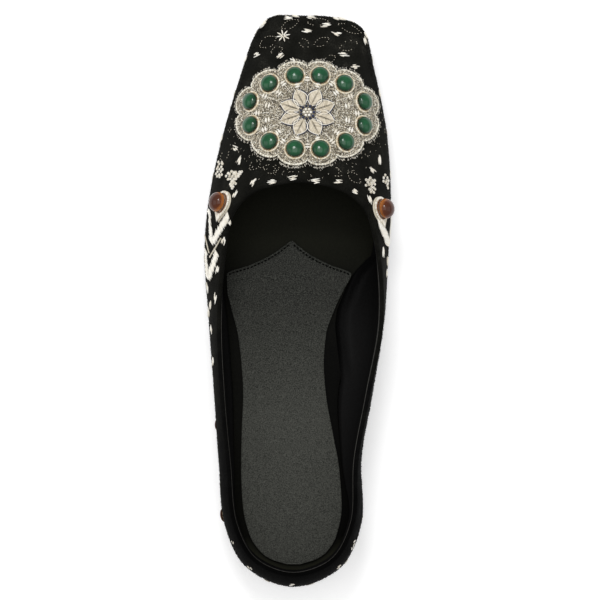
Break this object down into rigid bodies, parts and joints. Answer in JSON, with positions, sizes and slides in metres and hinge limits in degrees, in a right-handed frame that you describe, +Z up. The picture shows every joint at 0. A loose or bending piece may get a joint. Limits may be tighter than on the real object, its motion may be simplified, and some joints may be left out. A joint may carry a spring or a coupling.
{
  "type": "mule",
  "caption": "Low-backed black velvet mule for the left foot, square-toed and flat, with silver and ivory thread embroidery, green and amber cabochons and a grey leather sock.",
  "frame": {"origin": "centre of the heel's resting face, on the floor", "axes": "+Y towards the toe, +X towards the inner side of the left foot, +Z up"},
  "size_m": [0.0856, 0.2581, 0.0508],
  "materials": {
    "velvet": "black cotton velvet",
    "lining_leather": "smooth black",
    "sock_leather": "matt grey",
    "sole_leather": "waxed black",
    "silver_thread": "couched metallic thread",
    "ivory_thread": "cotton thread",
    "green_stone": "polished",
    "amber_stone": "polished"
  },
  "bodies": {
    "root": {"upper": "velvet", "outsole": "sole_leather", "heel": "sole_leather", "insole": "lining_leather", "sock": "sock_leather", "medallion": "silver_thread", "green_stone_01": "green_stone", "green_stone_02": "green_stone", "green_stone_03": "green_stone", "green_stone_04": "green_stone", "green_stone_05": "green_stone", "green_stone_06": "green_stone", "green_stone_07": "green_stone", "green_stone_08": "green_stone", "green_stone_09": "green_stone", "green_stone_10": "green_stone", "green_stone_11": "green_stone", "green_stone_12": "green_stone", "amber_setting_outer_shoulder": "ivory_thread", "amber_setting_inner_shoulder": "ivory_thread", "amber_setting_outer_wall_front": "ivory_thread", "amber_setting_outer_wall_back": "ivory_thread", "amber_stone_outer_shoulder": "amber_stone", "amber_stone_inner_shoulder": "amber_stone", "amber_stone_outer_wall_front": "amber_stone", "amber_stone_outer_wall_back": "amber_stone"}
  },
  "joints": []
}
